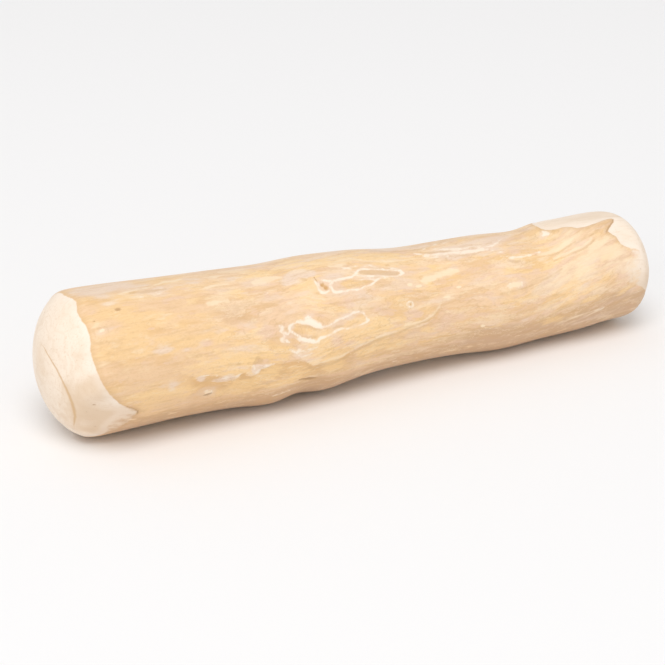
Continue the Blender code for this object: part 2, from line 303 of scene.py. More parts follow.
# Soft grey-brown lines: mm along, degrees round, half width in mm.
SHADES = (
    ((-4.2, 118.8, 0.5), (-1, 120.5, 0.75), (2.3, 121.9, 0.8), (5.5, 123.3, 0.75), (8.2, 124, 0.6)),
    ((-10.8, 126.2, 0.05), (-7, 128, 0.1), (-4.6, 129.8, 0.05), (-2.4, 130, 0.05)),
    ((-13.8, 131, 0.05), (-12, 131.8, 0.12), (-9, 132, 0.12), (-6, 131.4, 0.05)),
    (
        (-28.9, 155.8, 0.15), (-27.6, 157, 0.35), (-26, 158.6, 0.4), (-24.4, 160.8, 0.35),
        (-22.7, 162.4, 0.15),
    ),
    ((-30.4, 161.8, 0.05), (-28.7, 165.8, 0.2), (-25.8, 168, 0.35), (-24.2, 167.7, 0.2)),
    ((-20.6, 163.2, 0.05), (-15.3, 164.6, 0.2), (-13, 165.5, 0.15), (-10, 164, 0.1)),
    ((-23.8, 115, 0.1), (-23.2, 116.4, 0.5), (-22.4, 117.6, 0.4)),
    ((-18.6, 124, 0.1), (-17.9, 125.6, 0.2)),
    ((-1, 115.2, 0.05), (3, 116.9, 0.3), (7, 118.5, 0.25), (9.5, 119.8, 0.05)),
    ((46.4, 127.4, 0.1), (47.6, 129, 0.35), (49, 130.2, 0.4), (50.8, 129.6, 0.1)),
    ((24, 109.6, 0.1), (29, 111.6, 0.3), (34, 113.4, 0.25), (39, 112.6, 0.05)),
    ((19.6, 99, 0.1), (22, 101.6, 0.3), (25.6, 102.6, 0.2), (27.6, 103.8, 0.35), (30.4, 105.2, 0.1)),
    ((26.1, 111.4, 0.05), (26.7, 115, 0.15)),
    ((60.4, 129.6, 0.05), (64.6, 128.5, 0.12), (67.9, 125.4, 0.15), (71.8, 121.6, 0.08)),
    ((62, 136, 0.03), (68.4, 133.4, 0.1), (72.3, 132.4, 0.15), (76.1, 128.9, 0.15), (78.6, 124, 0.05)),
    ((40, 160, 0.05), (50, 158, 0.1), (57, 153, 0.1), (64, 146, 0.05)),
    (
        (-12, 189.4, 0.05), (-6.2, 186.2, 0.3), (-3.6, 184.4, 0.4), (-0.8, 183.6, 0.35), (4.3, 181.6, 0.15),
        (9, 177.8, 0.2), (13.6, 175.4, 0.2), (16.8, 171, 0.2), (18.6, 165.4, 0.05),
    ),
    ((88.6, 105.4, 0.1), (85.7, 108.6, 0.25), (83, 112, 0.3), (80.2, 117, 0.25), (77.7, 119, 0.15)),
    ((88.3, 164, 0.02), (88.4, 170, 0.06), (88.6, 175.8, 0.1)),
    ((-29.5, 204.2, 0.05), (-26.6, 206.3, 0.3), (-24, 208.5, 0.3), (-22.2, 209.7, 0.1)),
    ((-33, 207, 0.1), (-28.5, 212, 0.3), (-24.5, 218, 0.3), (-21, 226, 0.2)),
    ((-38, 219, 0.1), (-32, 218, 0.3), (-28, 223, 0.4), (-24, 232, 0.3)),
    ((-44.9, 180.4, 0.3), (-43.8, 178, 0.8), (-42.6, 179.4, 0.5)),
    ((-51, 179.5, 0.1), (-50.2, 178.9, 0.3), (-49.5, 178.6, 0.1)),
    ((-65, 166.4, 0.05), (-60, 166, 0.12), (-57, 165, 0.05)),
    (
        (-91.4, 131.4, 0.05), (-91.2, 137.7, 0.12), (-90, 140.4, 0.1), (-87.8, 144.2, 0.1),
        (-84.5, 145.4, 0.05),
    ),
    ((-90.2, 131.8, 0.1), (-88.6, 131, 0.25), (-87.2, 132.4, 0.2), (-87.2, 135.4, 0.1)),
    ((-92.2, 142.4, 0.1), (-90.9, 142.8, 0.45), (-89.6, 143.4, 0.1)),
    (
        (-28, 189.4, 0.05), (-26.6, 193.4, 0.2), (-25, 195.6, 0.3), (-23.4, 194.4, 0.25), (-19.4, 195, 0.2),
        (-15.6, 194, 0.25), (-12, 190.8, 0.15),
    ),
    ((-75.5, 102.4, 0.3), (-70.9, 103.2, 0.6), (-65, 103, 0.3)),
    ((64.9, 88.6, 0.2), (64.4, 92, 0.35), (63.7, 96.6, 0.15)),
    ((5, 86, 0.2), (12, 90, 0.35), (20, 91.6, 0.35), (26, 88.4, 0.2), (30, 83, 0.4)),
    ((-30, 24, 0.1), (-22, 20, 0.5), (-12, 21, 0.3)),
    ((20, 310, 0.1), (30, 306, 0.5), (42, 308, 0.2)),
    ((-64, 330, 0.1), (-52, 326, 0.5), (-44, 329, 0.2)),
)

# Dark slits: mm along, degrees round, half width in mm.
SLITS = (
    ((-30.2, 202.8, 0.02), (-27.7, 204.9, 0.2), (-25.9, 206.2, 0.35), (-23.6, 208, 0.06)),
    ((-60.4, 203.4, 0.05), (-59, 203.3, 0.2), (-57.7, 202.3, 0.05)),
    ((-19.4, 116.3, 0.02), (-19.6, 119.9, 0.12), (-19.6, 123.2, 0.04)),
    (
        (-84.8, 197.4, 0.02), (-83.2, 200.2, 0.06), (-81.5, 203.2, 0.1), (-80.5, 206.2, 0.14),
        (-80.7, 208.6, 0.04),
    ),
    ((90, 101.8, 0.2), (88.5, 107.9, 0.25), (86.6, 112.3, 0.25), (85, 116.2, 0.18), (83.6, 119.9, 0.05)),
    ((12, 52, 0.05), (18, 50, 0.2), (24, 51, 0.05)),
    ((-74, 300, 0.05), (-66, 298, 0.2), (-60, 299, 0.05)),
)

# Small pits and pores that are seen singly: mm along, degrees round, half length, half width in mm.
PITS = (
    (-81.9, 118.5, 1.1, 0.5), (-90.1, 125.1, 0.4, 0.25), (-93.4, 194.9, 0.5, 0.32),
    (-94.8, 206.3, 0.25, 0.2), (-91.3, 228.2, 0.3, 0.2), (-97.1, 64, 0.3, 0.4), (34.6, 117.4, 0.22, 0.2),
    (91.8, 165.5, 0.22, 0.2), (88.7, 175.2, 0.15, 0.3), (88.3, 182.9, 0.2, 0.2), (-31, 22, 0.8, 0.4),
    (62, 350, 0.7, 0.4), (-14, 331, 0.9, 0.35),
)

# Brown hearts of small knots: mm along, degrees round, half length and half width in mm.
KNOTS = (
    (-18.5, 126.8, 0.8, 0.8), (-17.6, 129.8, 1, 0.9), (8.9, 156.5, 0.35, 0.3), (38, 44, 1.1, 0.8),
    (-78, 356, 0.9, 0.7),
)

# Pale ovals: mm along, degrees round, half length and half width in mm.
SPOTS = (
    (46.2, 153.2, 2.6, 1), (-88.8, 134, 0.9, 0.4), (-59.2, 200.5, 1.1, 0.5), (10.6, 137.3, 1, 0.5),
    (13.5, 139.7, 1.2, 0.5), (26.8, 146.8, 1.1, 0.45), (22, 154.6, 1.4, 0.4), (33.9, 190.5, 1, 0.5),
)

# Soft patches of colour: mm along, degrees round, half length, half width in mm, strength.
PALE_PATCHES = (
    (-52, 120.5, 3.5, 2.4, 0.6), (-20, 99, 12, 3, 0.5), (68, 114, 7, 3, 0.7), (72, 147, 8, 4, 1),
    (62, 156, 6, 3, 0.8), (80, 134, 5, 3.6, 0.8), (85, 150, 5, 5, 0.9), (89, 168, 2.6, 4, 0.8),
    (25, 180, 3.5, 1.2, 0.6), (38.9, 181.7, 3, 1, 0.6), (-75, 108, 10, 5, 0.4), (-6, 103, 4, 1.2, 0.6),
    (10, 20, 14, 5, 0.6), (-50, 350, 16, 6, 0.6), (60, 320, 14, 5, 0.6),
)
GOLD_PATCHES = (
    (-39, 191, 3.4, 1.8, 1.1), (-52, 204, 8, 2.6, 0.8), (-30, 197, 5, 2, 0.8), (-11, 173, 5, 3, 1.2),
    (-46, 198, 4.6, 1.5, 1.2), (-36, 203, 6, 1.6, 0.8), (-18, 198, 3.2, 1.6, 1.3), (-9, 193, 5, 2, 0.9),
    (2, 191, 6, 2, 0.8), (-66, 195, 6, 2, 0.8), (-49, 174, 4, 2, 0.8), (20.5, 121.2, 1.6, 0.9, 1.2),
    (-57, 177, 9, 3.2, 0.9), (-37, 177, 7, 2.2, 0.8), (-21.5, 180, 4.8, 3.2, 1), (-2, 176, 8, 2.4, 0.8),
    (6, 98, 11, 3, 1.1), (-9, 130, 5, 2.2, 0.7), (-27, 161, 4.5, 3, 0.7), (-13, 162, 4.5, 2.4, 0.5),
    (-2.4, 168, 2.6, 1.6, 0.9), (-18, 96, 12, 4, 0.8), (-34, 97, 4, 3, 0.7), (-44, 121, 3, 2.2, 0.6),
    (38.1, 104.2, 3, 1, 0.8), (36, 87, 3, 2, 0.8), (-60, 115, 10, 3, 0.4), (50, 142, 10, 2, 0.5),
    (59.8, 200.8, 5, 2, 0.8), (72.5, 185.2, 5, 1.5, 0.8), (85.4, 185.6, 3, 2, 0.8), (14, 185, 3, 2, 0.7),
    (39, 191, 4, 1.6, 0.6), (-80, 190, 8, 3, 0.4), (52, 96, 8, 3, 0.5), (-30, 30, 16, 5, 0.8),
    (30, 330, 18, 5, 0.8), (-20, 280, 16, 6, 0.6),
)
PINK_PATCHES = (
    (-66.6, 195, 2.8, 0.9, 0.8), (-59, 158.4, 2.8, 0.9, 0.9), (-75.7, 150.5, 3, 1, 0.5),
    (-78.8, 163.5, 2.5, 1.2, 0.4), (86, 164, 4.4, 4.6, 1), (-39.5, 156.5, 3.4, 2, 1),
    (-42.6, 124, 1.2, 1.2, 0.8), (-36.2, 125.4, 1.2, 1, 0.8), (-27, 112, 3, 1.2, 0.6),
    (-35, 142, 6, 3, 0.4), (-12, 146, 2.4, 1.8, 0.9), (-2.5, 157, 2.4, 1, 0.8), (9, 164.5, 3, 1.4, 0.8),
    (11.2, 167.8, 1.8, 0.9, 0.9), (7.8, 170.2, 1, 0.7, 0.9), (20.2, 178, 3.2, 4.5, 1),
    (26, 176, 2.6, 1.6, 0.8), (14, 145, 8, 3, 0.4), (38, 140, 6, 3, 0.6), (50, 117.4, 4, 1.4, 0.7),
    (33, 160, 5, 2, 0.5), (-15, 228, 18, 5, 0.5), (12, 4, 12, 4, 0.7), (-60, 280, 12, 4, 0.7),
)
# Grey: dry grey skin in places, and along the top, near 80 degrees round, a painted sheen that pales the
# upper edge.
GREY_AND_SHEEN_PATCHES = (
    (-72.8, 157.5, 3.8, 0.95, 1.1), (-70.6, 185.8, 3, 1.2, 0.8), (-8, 142, 6, 3, 0.7),
    (34, 106, 9, 3.4, 0.9), (50, 93, 6, 3, 0.8), (-8, 80, 9, 3, 0.7), (14, 80, 9, 3, 0.8),
    (-69, 103, 6, 1.8, 0.8), (-54.5, 189.4, 4, 1, 1), (-44.3, 185.2, 1.3, 1.3, 1.8),
    (-41.8, 184, 2.2, 0.6, 1.5), (-61.6, 186.2, 1.6, 1, 1.4), (-26.5, 111, 3, 1.3, 1.1),
    (-27.4, 116.8, 2.8, 1.1, 1.4), (-21, 112.4, 2.6, 1, 0.9), (-14, 120.4, 3.4, 1, 1.2),
    (-84, 104, 4, 4, 0.5), (-80, 82, 14, 5, 1), (-10, 111, 4, 1.6, 0.6), (29, 112, 6, 2, 0.7),
    (-24, 107, 3, 1.2, 1), (-56, 98, 6, 2, 0.6), (-45, 101, 4, 1.5, 0.6), (-31.9, 155.5, 1.2, 0.8, 1),
    (-20, 113, 3, 1.6, 0.6), (5, 123.2, 4.5, 0.7, 1), (22.2, 87, 5, 2, 0.8), (42, 100.5, 6.5, 3.4, 1.1),
    (30, 102.4, 5, 1.2, 0.8), (8.5, 87, 5, 2, 0.7), (47.5, 128.4, 2, 1, 0.8), (-31, 180, 4, 1.4, 0.6),
    (56, 112, 6, 2.4, 0.5), (76, 190, 7, 1.4, 0.4), (70, 212, 14, 3, 0.6), (62, 82, 3, 2, 0.6),
    (-8, 36, 10, 3, 0.8), (-30, 320, 14, 4, 0.7),
)
# Brown: darker skin in places, and painted shade along the lower side and on the lower parts of both ends,
# where the stick faces down.
BROWN_AND_SHADE_PATCHES = (
    (92, 214, 6, 5, 0.5), (40, 204, 12, 4, 0.4), (-22, 219, 5, 2.6, 1.1), (-84.5, 206, 4, 4, 0.9),
    (95.6, 198, 4, 6, 0.9), (-97, 222, 5, 11, 0.25), (-90, 217, 6, 6, 0.8), (-94, 190, 5, 6, 0.6),
    (-99.5, 165, 4, 9, 0.4), (-88, 157, 7, 6, 0.3), (-50, 140, 9, 4, 0.3), (-44, 138, 14, 7, 0.25),
    (84, 216, 16, 9, 1), (60, 220, 18, 8, 1), (36, 222, 18, 8, 0.9), (12, 226, 18, 6.4, 0.9),
    (-10, 230, 16, 6.2, 0.8), (-30, 216, 10, 4, 0.5), (-34, 232, 16, 6, 0.9), (-60, 230, 18, 6.5, 0.9),
    (-80, 228, 12, 5, 0.7), (70, 190, 12, 2.5, 0.4), (84, 188, 6, 2.5, 0.5), (30, 192, 12, 2.5, 0.3),
    (61, 82, 3, 2, 0.7), (60, 262, 26, 8, 0.7), (-30, 262, 30, 8, 0.7), (-70, 300, 18, 6, 0.4),
    (40, 320, 20, 5, 0.3),
)

# The tables above by the marking that each one makes.
LINES = {"trace": TRACES, "band": BANDS, "shade": SHADES, "slit": SLITS}
OVALS = {"pit": PITS, "knot": KNOTS, "spot": SPOTS}
PATCHES = {
    "pale": PALE_PATCHES,
    "gold": GOLD_PATCHES,
    "pink": PINK_PATCHES,
    "grey": GREY_AND_SHEEN_PATCHES,
    "brown": BROWN_AND_SHADE_PATCHES,
}

# Where sanding ran out over the skin with hardly an edge, and the least of its sharpness that the
# skin's edge keeps there.
BLENDED_PATCHES = (
    (88.6, 160, 6, 5.5, 1), (91.6, 148, 2.4, 2.2, 0.8), (89, 174, 5, 4, 0.9), (-84, 211, 4.4, 4.2, 1.1),
    (-86.6, 228, 4, 4, 1),
)
LEAST_SHARP = 0.05

# Fibres bend round these: mm along, degrees round, radius in mm. Then how much they bend, and how far
# along and across that reaches, in radii.
GRAIN_BENDS = (
    (-18, 128, 3.2), (-27, 161, 4.5), (8.9, 156.5, 2), (46.2, 153.2, 2.6), (48, 129.5, 2.4), (65, 100, 4),
    (-59.2, 200.7, 2), (-26, 236, 6), (38, 44, 3), (-78, 356, 3), (-46, 20, 5), (30, 338, 5),
)
BEND = 0.75
BEND_REACH = (2.4, 1.5)

# The fibres start to wind round the stick here, wind fully from here on, and by this much: mm, mm
# and mm round the stick for each mm along it.
WINDING = (38.0, 62.0, 0.18)

# How far the fibres wander to each side: mm along, mm. Then how long, how wide and which waves.
WANDER = ((-60.0, 0.5), (-30.0, 1.4))
WANDER_WAVES = (34.0, 12.0, 3.0)

# From the thick end to here, and fading out until here, the skin is even: mm along. Its blotches
# need this much more noise to show.
CALM = (-66.0, -42.0)
CALMING = 0.07

# The crease in the thick end: mm to the back and above the middle, and half width in mm.
CREASE = (
    (0.7, 8.3, 0.02), (-1.7, 7.9, 0.08), (-5.7, 6.2, 0.14), (-8.8, 4.3, 0.18), (-11, 1.9, 0.2),
    (-12.6, -0.6, 0.24), (-13.4, -2.6, 0.3), (-13.7, -4.7, 0.34), (-13.4, -6.6, 0.3), (-12.4, -9.8, 0.2),
    (-10.6, -12.4, 0.1), (-9, -14.8, 0.02),
)

# The crease lies only on the end, before this: mm along.
CREASE_END = -90.0

# The scraped wood's colour starts within this of its torn edge and fades below it, in mm, until this
# share stays. The edge is followed this far to each side, in mm.
SCRAPED_START = (-0.2, 0.25)
SCRAPED_FADE = 4.5
SCRAPED_STAYS = 0.35
SCRAPED_REACH = (12.0, 20.0)

# The skin's dark rim counts a blended edge as this much further off, in mm.
BLENDED_RIM = 4.0

# Low relief: what is read, the size it takes, the share of it (below 0 it sinks), where it is whole
# and where it has ended.
RELIEF = (
    ("loop", "loop_depth", -1.0, 0.5, -0.1),
    ("torn white", "stroke_height", 1.0, -0.3, 0.3),
    ("slit", "pit_depth", -1.0, -0.1, 0.35),
    ("pit", "pit_depth", -1.0, 0.4, 1.3),
    ("knot", "pit_depth", -0.6, 0.2, 0.9),
    ("near crease", "pit_depth", -0.3, 0.0, 5.0),
)

# The step down to sanded wood, and where it fades out again; the step down from the outer skin, and
# where that fades out; where ripples start. All in mm.
SKIN_STEP = (-0.35, 0.25)
SKIN_STEP_FADE = (2.0, 7.0)
INNER_STEP = (-0.2, 0.3)
INNER_STEP_FADE = (1.0, 6.0)
RIPPLES_START = (0.0, 1.5)

# Long ripples: mm long, mm wide, which waves, and their share of the height.
RIPPLES = ((40.0, 6.0, 9.0, 1.0), (22.0, 1.8, 5.0, 0.4))

# Further than anything on the stick, in mm, and the largest value that a marking keeps.
FAR_OFF = 1e3
MOST_MARKING = 50.0

# How much closer rings of points lie towards a tip, and how near points of the solid are joined, in mm.
CAP_CROWDING = 1.6
JOIN_DISTANCE = 0.01

# The photograph's camera: degrees round and up, metres from what it looks at, where that is in mm,
# its lens and its sensor's width in mm, and the nearest that it sees in metres.
CAMERA_AROUND = -28.33
CAMERA_UP = 23.08
CAMERA_DISTANCE = 0.7
CAMERA_AIM = (-8.48, 0.0, 15.25)
CAMERA_LENS = 126.2
CAMERA_SENSOR = 36.0
CAMERA_NEAREST = 0.01

# A marking is read from the stick's points. Each layer of colour lies over those above it: its name,
# marking, the noise that roughens its edge and how much, where it starts and is whole, strength, colour.
MARKINGS = (
    "skin", "inner", "loop", "stroke", "trace", "band", "shade", "slit", "pit", "knot", "spot", "pale",
    "gold", "pink", "grey", "brown", "crease", "calm", "rim",
)
SKIN_LAYERS = (
    ("gold clouds", None, "cloud", 1.0, -0.08, 0.12, 0.7, "gold"),
    ("even skin", "calm", "fibre", 0.2, 0.02, -0.1, 0.3, "inner"),
    ("ochre clouds", "calm", "mottle", -1.0, -0.02, 0.12, 0.42, "inner"),
    ("pink clouds", "calm", "patch", -1.0, 0.0, 0.12, 0.6, "pink"),
    ("grey clouds", "calm", "mottle", 1.0, 0.04, 0.14, 0.5, "grey"),
    ("pale flakes", "calm", "flake", 1.0, 0.05, 0.1, 0.42, "pale"),
    ("pink patches", "pink", "patch", 2.0, 0.25, 0.8, 0.85, "pink"),
    ("scraped wood", "inner", "edge", 0.5, 0.05, 0.95, 0.9, "inner"),
    # Brown skin and painted shade: the lower side darker, as if in shade.
    ("brown underside and painted shade", "brown", "patch", 1.8, 0.1, 1.0, 0.75, "brown"),
    ("gold patches", "gold", "patch", 3.0, 0.2, 0.8, 0.7, "gold"),
    # Grey patches, some of them a painted sheen along the top.
    ("grey patches", "grey", "patch", 2.4, 0.25, 0.9, 0.8, "grey"),
    ("pale flecks", None, "fleck", 1.0, 0.04, 0.22, 0.2, "pale"),
    ("dark flecks", "calm", "fleck", -1.0, 0.04, 0.22, 0.25, "streak"),
    ("pale outlines", "calm", "outline", 0.1, -0.04, 0.04, 0.4, "pale"),
    ("dark outlines", "calm", "seam", 0.1, -0.04, 0.04, 0.3, "streak"),
    ("dark fibres", None, "fibre", -1.0, 0.0, 0.2, 0.3, "streak"),
    ("grit", None, "grit", -1.0, 0.02, 0.2, 0.2, "streak"),
    ("pale patches", "pale", "patch", 3.0, 0.15, 1.1, 0.6, "pale"),
    ("pale bands", "band", "edge", 1.8, 0.5, -0.4, 0.7, "pale"),
    ("haze", "stroke", "patch", 6.0, 1.2, -0.6, 0.45, "grey"),
    ("flaked wood", "loop", "patch", 1.6, -0.2, 0.6, 0.12, "inner"),
    ("shades", "shade", "edge", 1.4, 0.45, -0.25, 0.5, "streak"),
    ("spots", "spot", "edge", 1.0, 1.2, 0.7, 0.9, "pale"),
    ("traces", "trace", "edge", 2.6, 0.3, -0.35, 0.7, "white"),
    ("strokes", "stroke", "edge", 1.3, 0.28, -0.22, 0.85, "white"),
    ("knots", "knot", "edge", 1.2, 1.2, 0.3, 0.85, "knot"),
    ("slits", "slit", "edge", 0.6, 0.3, -0.05, 0.7, "pit"),
    ("rim of the skin", "rim", "edge", 2.4, 2.2, 0.0, 0.4, "streak"),
)
SANDED_LAYERS = (
    ("tan wood", None, "ends", 1.0, -0.1, 0.2, 0.3, "ring"),
    # Painted shade: the sanded ends darker on their lower side, where they face down.
    ("lower side", "brown", "ends", 1.5, 0.1, 1.0, 0.75, "ring"),
    ("growth rings", None, "rings", 1.0, -0.1, 0.3, 0.2, "ring"),
    ("pores", None, "wood", -1.0, 0.05, 0.25, 0.4, "ring"),
    ("grit", None, "grit", -1.0, 0.05, 0.25, 0.25, "ring"),
    # A paler band of cut wood along the skin's edge, with a painted highlight on it.
    ("pale cut rim and painted highlight", "skin", "edge", 1.6, -2.6, -0.6, 0.28, "rim"),
)
COMMON_LAYERS = (
    ("pits", "pit", "edge", 0.8, 1.3, 0.5, 0.65, "pit"),
    # A tan line along the crease: the growth ring's own colour, partly painted shade in its groove.
    ("crease", "crease", "edge", 0.4, 2.6, 0.4, 0.75, "streak"),
)
SANDED_EDGE = ("skin", "edge", 0.6, 0.2, -0.2)

# The noises' blotches: mm long and wide on the skin, detail and roughness. Grain width sets the fibres.
# Fibres and pores are several times as wide as real ones, which are too fine to show in a picture of
# the whole stick.
SKIN_NOISES = {
    "cloud": (18.0, 5.5, 3.0, 0.55),
    "patch": (8.0, 2.4, 4.0, 0.6),
    "mottle": (13.0, 4.0, 3.0, 0.5),
    "fleck": (3.2, 0.9, 3.0, 0.6),
    "flake": (11.0, 2.6, 5.0, 0.65),
    "edge": (2.6, 1.3, 3.0, 0.6),
}
FIBRE_LENGTH = 9.0
FIBRE_NOISE = (3.0, 0.6)
WOOD_NOISES = {
    "grit": (0.8, 0.5, 1.0, 0.5),
    "wood": (12.0, 0.8, 2.0, 0.5),
    "ends": (40.0, 7.0, 2.0, 0.5),
}

# Thin outlines of worn layers: name, the noise whose blotches they run round, its value and how far
# from it they reach.
OUTLINES = (
    ("outline", "flake", 0.55, 0.012),
    ("seam", "mottle", 0.45, 0.008),
)

# The colour sockets of a Mix node.
MIX_UNDER = 6
MIX_OVER = 7
MIX_RESULT = 2

# Growth rings wander by about this many mm.
RING_WAVER = 12.0

# Finishes: how rough and glossy each surface is, its fine fuzz, and how strong the grain stands out.
SKIN_ROUGHNESS = 0.5
SANDED_ROUGHNESS = 0.72
WOOD_IOR = 1.5
FUZZ = 0.2
FUZZ_ROUGHNESS = 0.35
GRAIN_STRENGTH = 0.35
FLECK_HEIGHT = 0.5
PAPER_ROUGHNESS = 0.9
PAPER_GLOSS = 0.2

# Each lamp's name, place in metres, width in metres and power in watts.
LAMPS = (
    ("lamp above", (-0.7, -1.2, 2.7), 2.0, 44.0),
    ("lamp left", (-2.0, -1.0, 0.9), 1.2, 6.0),
)
ROOM_LIGHT = 0.64
STAGE_HALF = 4.0


def linear(hex_colour):
    """An sRGB hex colour as linear red, green, blue and alpha."""
    parts = [int(hex_colour[i : i + 2], 16) / 255 for i in (1, 3, 5)]
    return [c / 12.92 if c <= 0.04045 else ((c + 0.055) / 1.055) ** 2.4 for c in parts] + [1.0]


def colour_property(name, description, hex_colour):
    return bpy.props.FloatVectorProperty(
        name=name,
        description=description,
        default=linear(hex_colour),
        size=4,
        min=0.0,
        max=1.0,
        subtype="COLOR",
    )


def length_property(name, description, millimetres):
    return bpy.props.FloatProperty(
        name=name,
        description=description,
        default=millimetres * MM,
        min=0.0,
        unit="LENGTH",
        precision=5,
    )


def count_property(name, description, default, least, most):
    return bpy.props.IntProperty(
        name=name, description=description, default=default, min=least, max=most
    )


class StickSizes(bpy.types.PropertyGroup):
    rings: count_property("Rings", "Rings of points along the stick", 308, 90, 308)
    sides: count_property("Sides", "Points round the stick", 320, 60, 320)
    softening: count_property("Softening", "How often the solid's facets are smoothed", 18, 0, 60)
    skin: length_property("Skin", "How far sanded wood lies under the skin", 0.18)
    inner_step: length_property("Inner step", "Thickness of the outer skin at its torn edge", 0.14)
    loop_depth: length_property("Loop depth", "How deep the flaked islands are", 0.08)
    stroke_height: length_property("Stroke height", "How far torn white skin stands up", 0.07)
    pit_depth: length_property("Pit depth", "How deep pits and slits are", 0.3)
    flutes: length_property("Flutes", "Height of the long ripples of the branch", 0.12)
    grain_width: length_property("Grain width", "From one fibre streak to the next", 0.9)
    ring_width: length_property("Ring width", "From one growth ring to the next", 1.3)
    grain_relief: length_property("Grain relief", "How deep the grain between fibres is", 0.08)


class StickColours(bpy.types.PropertyGroup):
    tan: colour_property("Tan", "The skin between its markings", "#f1cea8")
    gold: colour_property("Gold", "Thick, resin-rich skin", "#f9d399")
    pink: colour_property("Pink", "Skin scraped thin", "#eccab0")
    # Grey is also the painted sheen along the top.
    grey: colour_property("Grey", "Dry, weathered skin", "#eed6c2")
    # Brown is also the painted shade of the lower side.
    brown: colour_property("Brown", "The darker skin of the lower side", "#cba37b")
    pale: colour_property("Pale", "Skin scraped to the wood", "#fae3c2")
    inner: colour_property("Inner", "The layer below the outer skin", "#e2b67e")
    white: colour_property("White", "Torn fibres and thin rims", "#fdeeda")
    # Streak is also the crease's line, partly painted shade.
    streak: colour_property("Streak", "Dark fibres", "#d4ae7e")
    knot: colour_property("Knot", "Middles of knots", "#cb9856")
    pit: colour_property("Pit", "Pits, pores and slits", "#b0865a")
    cream: colour_property("Cream", "Sanded wood", "#f7e6d3")
    # Rim is also a painted highlight along the skin's edge.
    rim: colour_property("Rim", "Sanded wood close to the skin", "#fdf0e3")
    # Growth ring colour is also the painted shade on the lower side of the sanded ends.
    ring: colour_property("Growth ring", "Growth rings and pores of sanded wood", "#e0c4a4")
    floor: colour_property("Floor", "The paper the stick lies on", "#f4f3f3")


def eased_step(values, start, end):
    """0 before start, 1 after end, and a smooth rise between them."""
    share = np.clip((values - start) / (end - start), 0.0, 1.0)
    return share * share * (3.0 - 2.0 * share)


def turned(turn, centre):
    """Degrees from centre, the short way round."""
    return (turn - centre + 180.0) % 360.0 - 180.0


def to_mm(degrees):
    """Degrees round the stick as millimetres round it."""
    return np.radians(degrees) * ROUND_RADIUS


def line_distance(along, around, line, closed):
    """Distance from each point to a line through (mm, mm, half width) points, less its half width."""
    nearest = np.full(len(along), FAR_OFF)
    stops = list(line) + ([line[0]] if closed else [])
    for (x0, y0, w0), (x1, y1, w1) in zip(stops, stops[1:]):
        length = (x1 - x0) ** 2 + (y1 - y0) ** 2
        share = np.clip(((along - x0) * (x1 - x0) + (around - y0) * (y1 - y0)) / length, 0.0, 1.0)
        far = np.hypot(along - x0 - share * (x1 - x0), around - y0 - share * (y1 - y0))
        nearest = np.minimum(nearest, far - w0 - share * (w1 - w0))
    return nearest


def crossings(along, around, line, closed):
    """How many times a line is crossed on the way to each point from far along -X."""
    count = np.zeros(len(along), int)
    stops = list(line) + ([line[0]] if closed else [])
    for (x0, y0, _), (x1, y1, _) in zip(stops, stops[1:]):
        between = (around >= min(y0, y1)) & (around < max(y0, y1))
        rise = y1 - y0 if y1 != y0 else 1.0
        count += between & (x0 + (around - y0) * (x1 - x0) / rise < along)
    return count


def as_mm(line, centre):
    """A line in mm and degrees, with or without widths, as mm, mm and half width from centre."""
    return [(stop[0], to_mm(stop[1] - centre), stop[2] if len(stop) > 2 else 0.0) for stop in line]


def skin_distance(along, turn):
    """Millimetres from the nearest skin edge: above 0 on skin, below 0 on sanded wood."""
    around = to_mm(turn)
    inside = np.full(len(along), FAR_OFF)
    for edge, near in ((NEAR_SKIN_EDGE, True), (FAR_SKIN_EDGE, False)):
        wound = [(x, t + lap) for lap in (-360.0, 0.0, 360.0) for x, t in edge]
        line = as_mm(wound, 0.0)
        far = line_distance(along, around, line, False)
        passed = crossings(along, around, line, False) % 2 == 1
        inside = np.minimum(inside, np.where(passed == near, far, -far))
    return inside


def loop_distance(along, turn):
    """Millimetres from the nearest loop: above 0 inside it."""
    nearest = np.full(len(along), -FAR_OFF)
    for loop in LOOPS:
        centre = sum(stop[1] for stop in loop) / len(loop)
        around = to_mm(turned(turn, centre))
        line = as_mm(loop, centre)
        far = line_distance(along, around, line, True)
        inside = crossings(along, around, line, True) % 2 == 1
        nearest = np.maximum(nearest, np.where(inside, far, -far))
    return nearest


def lines_distance(along, turn, lines):
    """Millimetres outside the nearest of these lines: below 0 on one."""
    nearest = np.full(len(along), FAR_OFF)
    for line in lines:
        centre = line[0][1]
        around = to_mm(turned(turn, centre))
        nearest = np.minimum(nearest, line_distance(along, around, as_mm(line, centre), False))
    return nearest


def oval_distance(along, turn, ovals):
    """How far from the nearest oval's middle, where 1 is its edge."""
    nearest = np.full(len(along), FAR_OFF)
    for place, towards, long, wide in ovals:
        around = to_mm(turned(turn, towards))
        nearest = np.minimum(nearest, np.hypot((along - place) / long, around / wide))
    return nearest


def ring_distance(along, turn, rings):
    """Millimetres outside the nearest of these rings' lines."""
    nearest = np.full(len(along), FAR_OFF)
    for place, towards, long, wide, half in rings:
        around = to_mm(turned(turn, towards))
        off = np.abs(np.hypot((along - place) / long, around / wide) - 1.0) * min(long, wide)
        nearest = np.minimum(nearest, off - half)
    return nearest


def patch_strength(along, turn, patches):
    total = np.zeros(len(along))
    for place, towards, long, wide, strength in patches:
        around = to_mm(turned(turn, towards))
        total += strength * np.exp(-(((along - place) / long) ** 2) - (around / wide) ** 2)
    return total


def inner_depth(along, turn):
    """Millimetres past the lower edge of the outer skin, and how strongly that edge shows."""
    line = [stop[:2] for stop in INNER_EDGE]
    centre = line[0][1]
    around = to_mm(turned(turn, centre))
    far = line_distance(along, around, as_mm(line, centre), False)
    places = [stop[0] for stop in INNER_EDGE]
    edge = np.interp(along, places, [to_mm(stop[1] - centre) for stop in INNER_EDGE])
    shows = np.interp(along, places, [stop[2] for stop in INNER_EDGE], 0.0, 0.0)
    shows = shows * (1.0 - eased_step(far, *SCRAPED_REACH))
    return np.where(around > edge, far, -far), shows


